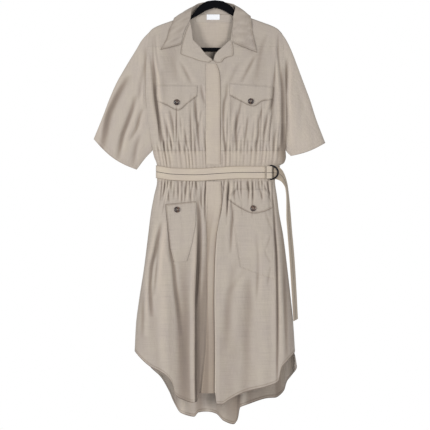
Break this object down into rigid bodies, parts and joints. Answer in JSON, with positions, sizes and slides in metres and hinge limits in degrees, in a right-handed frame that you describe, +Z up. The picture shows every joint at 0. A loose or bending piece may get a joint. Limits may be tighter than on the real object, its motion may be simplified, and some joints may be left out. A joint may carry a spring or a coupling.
{
  "type": "shirt dress on a hanger",
  "caption": "Short-sleeved cotton shirt dress with an open notched collar, gathered waist and belt, hanging flat from a slim flocked hanger.",
  "frame": {"origin": "inside top of the hanger's hook, where it bears on a rail", "axes": "+X to the viewer's right along the shoulders, +Y from the dress's front to its back, +Z up along the hanging cloth"},
  "size_m": [0.695, 0.0896, 1.3517],
  "materials": {
    "cloth": "crisp cotton with a faint sheen",
    "belt_cloth": "firm woven band, matte",
    "label_cloth": "smooth satin tape, bare",
    "horn": "polished dark horn",
    "ring_metal": "black lacquer, satin",
    "flock": "black flocking over a plastic core",
    "hook_steel": "bright plated wire"
  },
  "bodies": {
    "root": {"front_yoke_left": "cloth", "front_yoke_right": "cloth", "bodice_front_left": "cloth", "bodice_front_right": "cloth", "bodice_back": "cloth", "waistband_front_left": "cloth", "waistband_front_right": "cloth", "waistband_back": "cloth", "skirt_front_left": "cloth", "skirt_front_right": "cloth", "skirt_back": "cloth", "sleeve_left": "cloth", "sleeve_right": "cloth", "lapel_left": "cloth", "lapel_right": "cloth", "collar": "cloth", "collar_stand": "cloth", "neck_facing": "cloth", "placket_bodice": "cloth", "placket_skirt": "cloth", "chest_pocket_left": "cloth", "chest_pocket_right": "cloth", "hip_pocket_left": "cloth", "hip_pocket_right": "cloth", "chest_flap_left": "cloth", "chest_flap_right": "cloth", "hip_flap_right": "cloth", "neck_label": "label_cloth", "button_chest_left": "horn", "button_chest_right": "horn", "button_hip_left": "horn", "button_hip_right": "horn", "belt_band": "belt_cloth", "belt_ring_loop": "belt_cloth", "belt_tail": "belt_cloth", "d_ring_front": "ring_metal", "d_ring_rear": "ring_metal", "hanger_body": "flock", "hanger_hook": "hook_steel"}
  },
  "joints": []
}
